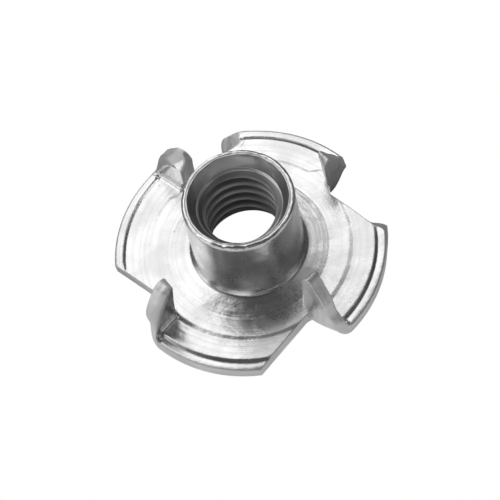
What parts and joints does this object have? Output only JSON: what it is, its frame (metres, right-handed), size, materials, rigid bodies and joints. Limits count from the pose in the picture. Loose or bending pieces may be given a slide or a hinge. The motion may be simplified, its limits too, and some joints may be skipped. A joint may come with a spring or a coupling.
{
  "type": "tee nut",
  "caption": "Pressed steel nut for wood: a threaded barrel on a lobed flange, with prongs folded up from its rim.",
  "frame": {"origin": "centre of the bore in the plane of the flange's underside, on which the nut stands", "axes": "+Z along the barrel, from the flange towards its open mouth; the feet of the four sheared cuts lie at 45 degrees to X and Y"},
  "size_m": [0.019, 0.019, 0.008],
  "materials": {
    "zinc_plate": "bright zinc plate on pressed steel, worn smooth on the sheared edges"
  },
  "bodies": {
    "root": {"tee_nut": "zinc_plate"}
  },
  "joints": []
}
